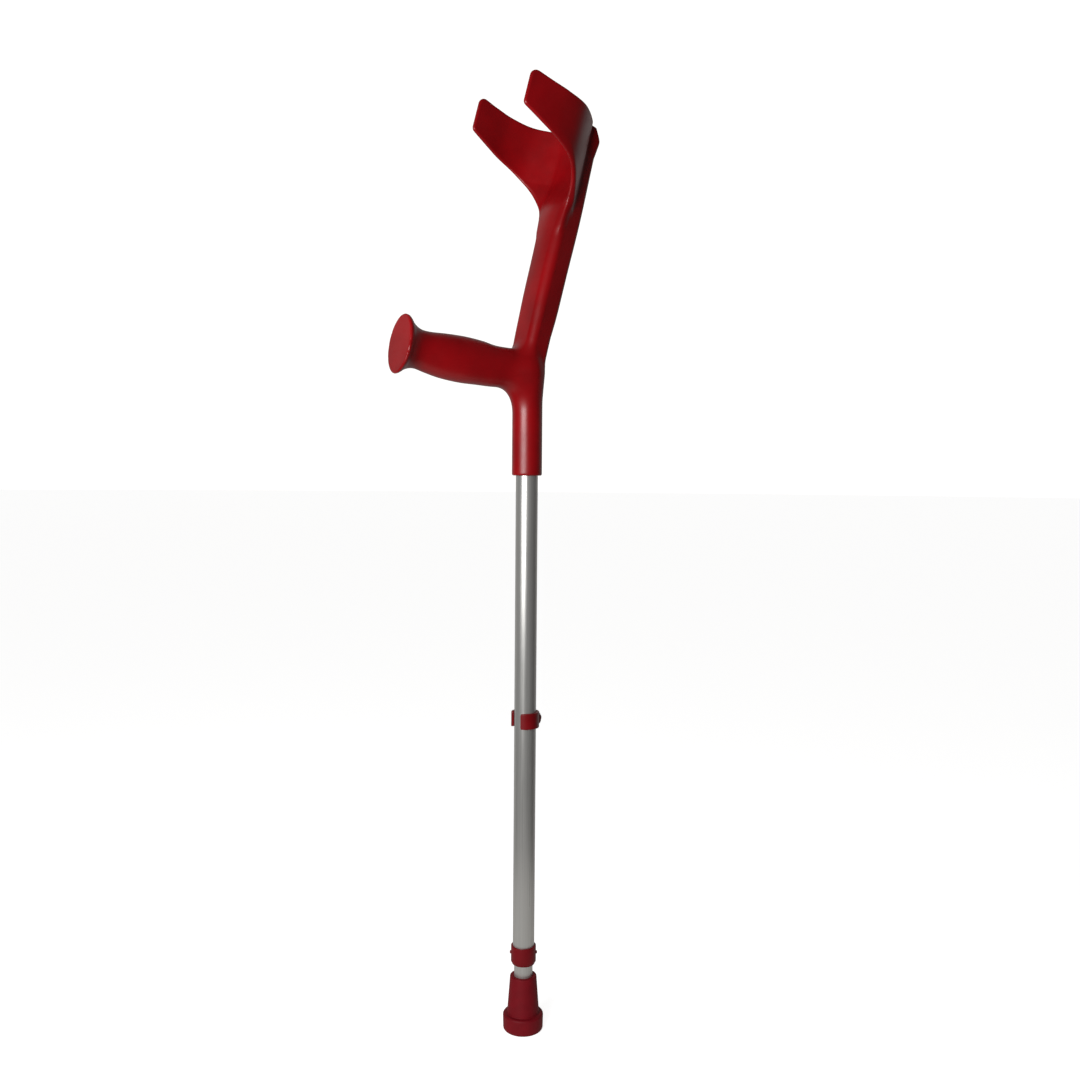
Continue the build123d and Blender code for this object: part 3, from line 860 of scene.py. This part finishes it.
def make_clip():
    """The sprung band, drawn as one fixed solid, and the button with its peg."""
    band = solid_from_field("clip", band_field, (-17, -16, PEG_Z - 10), (16, 16, PEG_Z + 10), CLIP_STEP)
    cut(band, [rod(PEG_HOLE_R, 5, 30, PEG_Z)])
    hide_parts("clip_band")
    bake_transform(band)
    dome = [(0, 19.18), (0.9, 19.1), (1.8, 18.8), (2.7, 18.25), (3.5, 17.45), (4.1, 16.5), (4.42, 15.6),
            (4.42, 15.12), (3.0, 15.12), (3.0, 7.0), (2.4, 6.45), (0, 6.45)]
    peg = across(lathe_solid("peg", dome, 64), PEG_Z)
    peg.data.set_sharp_from_angle(angle=SHARP_ANGLE)
    return band, finish_piece(peg, "height_clip", "clip_peg")


# ---------------------------------------------------------------- materials
def new_material(name, colour, roughness, metallic=0.0):
    """A material with its shader's constants set, and its node tree."""
    material = bpy.data.materials.new(name)
    material.use_nodes = True
    shader = material.node_tree.nodes["Principled BSDF"]
    shader.inputs["Base Color"].default_value = (*colour, 1)
    shader.inputs["Roughness"].default_value = roughness
    shader.inputs["Metallic"].default_value = metallic
    return material, material.node_tree, shader


def noise(tree, scale, detail=4.0, stretch=(1, 1, 1)):
    """Noise in the object's own metres, stretched along its axes."""
    place = tree.nodes.new("ShaderNodeTexCoord")
    mapping = tree.nodes.new("ShaderNodeMapping")
    mapping.inputs["Scale"].default_value = stretch
    texture = tree.nodes.new("ShaderNodeTexNoise")
    texture.inputs["Scale"].default_value = scale
    texture.inputs["Detail"].default_value = detail
    tree.links.new(place.outputs["Object"], mapping.inputs["Vector"])
    tree.links.new(mapping.outputs["Vector"], texture.inputs["Vector"])
    return texture.outputs["Fac"]


def spread(tree, value, low, high, out_low, out_high):
    """Runs a value from one range onto another, clamped at its ends."""
    ramp = tree.nodes.new("ShaderNodeMapRange")
    ends = {"From Min": low, "From Max": high, "To Min": out_low, "To Max": out_high}
    for socket, number in ends.items():
        ramp.inputs[socket].default_value = number
    tree.links.new(value, ramp.inputs["Value"])
    return ramp.outputs["Result"]


def mixed_colour(tree, share, one, two):
    """Mixes two colours, each a value or a socket, by a share from 0 to 1."""
    mix = tree.nodes.new("ShaderNodeMix")
    mix.data_type = "RGBA"
    tree.links.new(share, mix.inputs[0])
    for index, colour in ((6, one), (7, two)):
        if isinstance(colour, tuple):
            mix.inputs[index].default_value = (*colour, 1)
        else:
            tree.links.new(colour, mix.inputs[index])
    return mix.outputs[2]


def combined(tree, operation, one, two):
    """The sum or the product of two values."""
    node = tree.nodes.new("ShaderNodeMath")
    node.operation = operation
    tree.links.new(one, node.inputs[0])
    tree.links.new(two, node.inputs[1])
    return node.outputs[0]


def bump(tree, shader, layers):
    """Stacks bump layers of (value, depth in metres) onto a shader."""
    normal = None
    for value, depth in layers:
        node = tree.nodes.new("ShaderNodeBump")
        node.inputs["Distance"].default_value = depth
        node.inputs["Strength"].default_value = 1.0
        tree.links.new(value, node.inputs["Height"])
        if normal is not None:
            tree.links.new(normal, node.inputs["Normal"])
        normal = node.outputs["Normal"]
    tree.links.new(normal, shader.inputs["Normal"])


def edge_wear(tree, low, high):
    """How far a place stands out on a rounded edge, broken up by noise."""
    geometry = tree.nodes.new("ShaderNodeNewGeometry")
    worn = spread(tree, geometry.outputs["Pointiness"], low, high, 0, 1)
    patches = spread(tree, noise(tree, 160, 5), 0.42, 0.62, 0, 1)
    return combined(tree, "MULTIPLY", worn, patches)


def moulded_plastic(name, colour, roughness, wear=True, gloss=0.5):
    """Moulded plastic: fine sparked grain, faint flow mottling, scuffs and lightly polished edges."""
    material, tree, shader = new_material(name, colour, roughness)
    deep = tuple(0.82 * channel for channel in colour)
    light = tuple(1.14 * channel for channel in colour)
    mottle = spread(tree, noise(tree, 22, 5), 0.35, 0.65, 0, 1)
    tint = mixed_colour(tree, mottle, deep, light)
    if wear:
        worn = edge_wear(tree, 0.53, 0.60)
        faint = spread(tree, worn, 0, 1, 0, 0.25)
        tint = mixed_colour(tree, faint, tint, WORN_RED)
    tree.links.new(tint, shader.inputs["Base Color"])
    hands = spread(tree, noise(tree, 45, 6), 0.3, 0.7, roughness - 0.05, roughness + 0.05)
    scratches = spread(tree, noise(tree, 500, 3, (1.0, 0.06, 0.5)), 0.62, 0.72, 0, 0.06)
    tree.links.new(combined(tree, "ADD", hands, scratches), shader.inputs["Roughness"])
    shader.inputs["IOR"].default_value = 1.48
    shader.inputs["Specular IOR Level"].default_value = gloss
    waves, grain = noise(tree, 60, 2), noise(tree, 1500, 2)
    bump(tree, shader, [(waves, 0.00004), (grain, 0.000012), (scratches, 0.00002)])
    return material


def anodised_tube():
    """Drawn, satin-anodised aluminium: streaks along the tube, faint handling marks."""
    material, tree, shader = new_material("anodised_aluminium", ANODISED, 0.32, 0.62)
    streaks = noise(tree, 900, 3, (1, 1, 0.008))
    marks = spread(tree, noise(tree, 30, 6, (1, 1, 0.35)), 0.35, 0.7, 0, 1)
    fine = spread(tree, streaks, 0.35, 0.65, 0, 1)
    tint = mixed_colour(tree, fine, (0.565, 0.56, 0.54), (0.63, 0.625, 0.605))
    tree.links.new(tint, shader.inputs["Base Color"])
    drawn = spread(tree, streaks, 0.3, 0.7, 0.28, 0.36)
    handled = spread(tree, marks, 0, 1, -0.02, 0.06)
    tree.links.new(combined(tree, "ADD", drawn, handled), shader.inputs["Roughness"])
    bump(tree, shader, [(streaks, 0.000006), (noise(tree, 2500, 2), 0.000003)])
    return material


def tip_rubber():
    """Moulded rubber: matt, faintly dusty, scuffed pale at the foot's rim."""
    material, tree, shader = new_material("red_rubber", RUBBER_RED, 0.6)
    shader.inputs["Specular IOR Level"].default_value = 0.2
    mottle = spread(tree, noise(tree, 90, 6), 0.35, 0.7, 0, 1)
    tint = mixed_colour(tree, mottle, (0.195, 0.0024, 0.0085), (0.235, 0.0034, 0.0105))
    place = tree.nodes.new("ShaderNodeTexCoord")
    parts = tree.nodes.new("ShaderNodeSeparateXYZ")
    tree.links.new(place.outputs["Object"], parts.inputs[0])
    foot = spread(tree, parts.outputs["Z"], 0.0, 0.0035, 0.55, 0)
    patches = spread(tree, noise(tree, 300, 6), 0.4, 0.62, 0, 1)
    tint = mixed_colour(tree, combined(tree, "MULTIPLY", foot, patches), tint, SCUFFED_RUBBER)
    tree.links.new(tint, shader.inputs["Base Color"])
    tree.links.new(spread(tree, mottle, 0, 1, 0.54, 0.68), shader.inputs["Roughness"])
    bump(tree, shader, [(noise(tree, 120, 3), 0.00005), (noise(tree, 1800, 2), 0.00002)])
    return material


def bare_metal(name, colour, roughness, scale):
    """Bare metal with a fine grain in its colour, polish and surface."""
    material, tree, shader = new_material(name, colour, roughness, 1.0)
    grain = noise(tree, scale, 5)
    dull = tuple(0.85 * channel for channel in colour)
    tree.links.new(mixed_colour(tree, grain, dull, colour), shader.inputs["Base Color"])
    polish = spread(tree, grain, 0.3, 0.7, roughness - 0.07, roughness + 0.1)
    tree.links.new(polish, shader.inputs["Roughness"])
    bump(tree, shader, [(grain, 0.00001)])
    return material


def paint(piece, material):
    """Gives a piece its one material."""
    piece.data.materials.clear()
    piece.data.materials.append(material)


def main():
    """Builds the studio and every piece, and gives each piece its material."""
    add_camera()
    add_floor()
    add_lights()
    red = moulded_plastic("red_polypropylene", RED, 0.36)
    clip_red = moulded_plastic("red_clip_plastic", CLIP_RED, 0.36, wear=False)
    tube_metal = anodised_tube()
    paint(make_handle(), red)
    paint(make_end_cap(), moulded_plastic("red_cap_plastic", RED, 0.34))
    for piece in make_tubes():
        paint(piece, tube_metal)
    paint(make_rivet(), bare_metal("rivet_aluminium", RIVET_ALUMINIUM, 0.28, 1200))
    paint(make_ferrule(), tip_rubber())
    collar_red = moulded_plastic("red_collar_plastic", COLLAR_RED, 0.46, wear=False, gloss=0.25)
    paint(make_collar(), collar_red)
    band, peg = make_clip()
    paint(band, clip_red)
    # the peg's dark red is painted shade on the same red plastic
    paint(peg, moulded_plastic("peg_plastic_painted_shade", SHADED_PEG_RED, 0.32, wear=False))
    paint(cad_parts["guide_bush"], moulded_plastic("grey_nylon", NYLON, 0.5, wear=False))
    paint(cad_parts["ferrule_washer"], bare_metal("zinc_steel", ZINC, 0.34, 700))


main()
